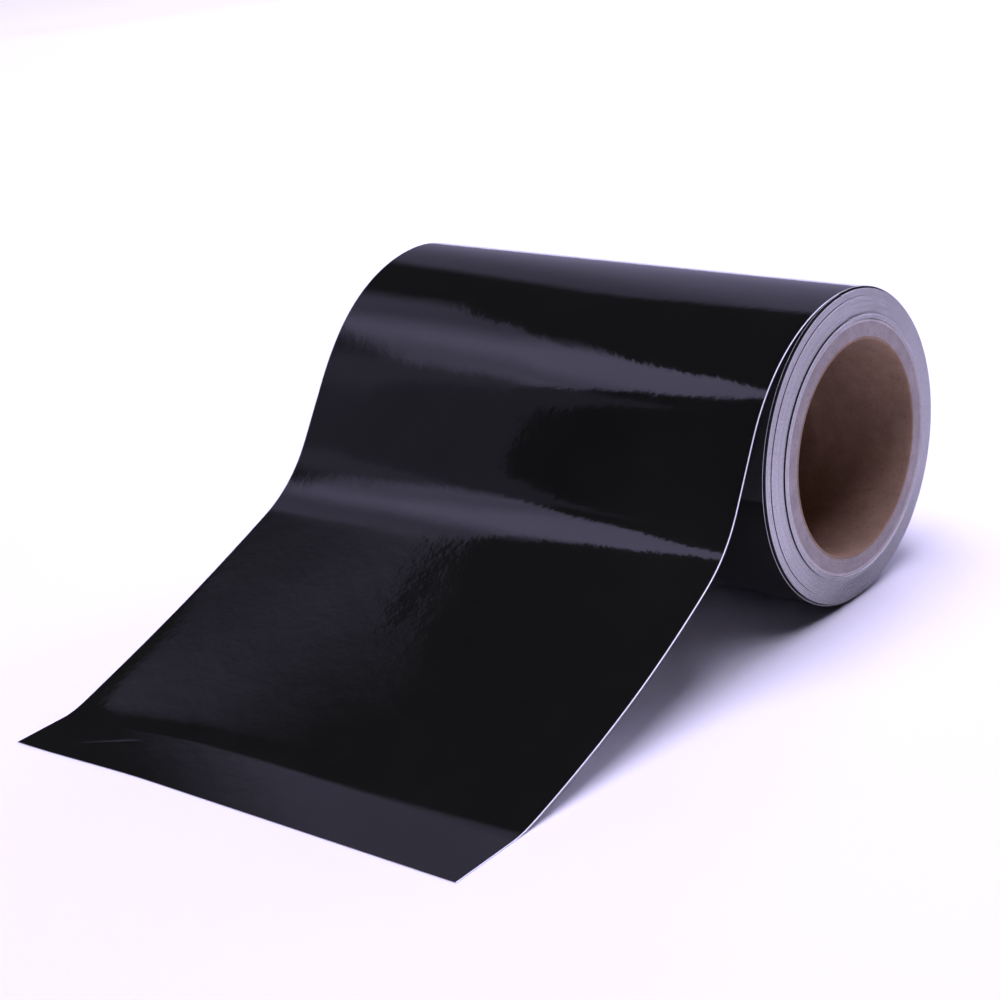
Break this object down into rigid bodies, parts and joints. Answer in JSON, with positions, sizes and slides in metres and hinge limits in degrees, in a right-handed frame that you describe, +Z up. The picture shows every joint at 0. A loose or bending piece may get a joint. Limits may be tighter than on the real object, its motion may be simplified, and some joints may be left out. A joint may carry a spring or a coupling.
{
  "type": "roll of sign vinyl",
  "caption": "Partly unrolled roll of black sign vinyl on its paper liner, wound on a paperboard core, with the tail laid down flat.",
  "frame": {"origin": "centre of the base of the whole object's bounding box, on the surface it rests on", "axes": "+X along the roll towards the end where the core stands proud, -Y from the roll towards the leading edge of the web, +Z up"},
  "size_m": [0.1958, 0.2798, 0.112],
  "materials": {
    "core_lining": "kraft paper lining, spiral wound, dull",
    "core_board": "grey chipboard, sawn end",
    "core_cover": "smooth white paper outside ply",
    "start_tape": "double-sided tape, satin",
    "wound_edge": "slit edges of film and liner, satin, fine rings",
    "liner": "white clay-coated release paper, satin",
    "film": "gloss black calendered vinyl, faint orange peel"
  },
  "bodies": {
    "web": {"lap_liner": "liner", "lap_film": "film", "tail_liner": "liner", "tail_film": "film"},
    "roll": {"core_ply_1": "core_lining", "core_ply_2": "core_board", "core_ply_3": "core_board", "core_ply_4": "core_board", "core_ply_5": "core_board", "core_ply_6": "core_board", "core_ply_7": "core_board", "core_ply_8": "core_cover", "start_tape": "start_tape", "wound_web_1": "wound_edge", "wound_web_2": "wound_edge", "wound_web_3": "wound_edge", "wound_web_4": "wound_edge"},
    "lead": {"lead_liner": "liner", "lead_film": "film"},
    "flap": {"film_flap": "film"}
  },
  "joints": [
    {"name": "roll_spin", "type": "hinge", "parent": "web", "child": "roll", "pos_m": [0, 0.08387, 0.05595], "axis": [1, 0, 0], "continuous": true},
    {"name": "lead_lift", "type": "hinge", "parent": "web", "child": "lead", "pos_m": [0, -0.11339, 0.00013], "axis": [-1, 0, 0], "range_deg": [0, 60]},
    {"name": "film_peel", "type": "hinge", "parent": "lead", "child": "flap", "pos_m": [0, -0.12589, 0.0002], "axis": [-1, 0, 0], "range_deg": [0, 150]}
  ]
}
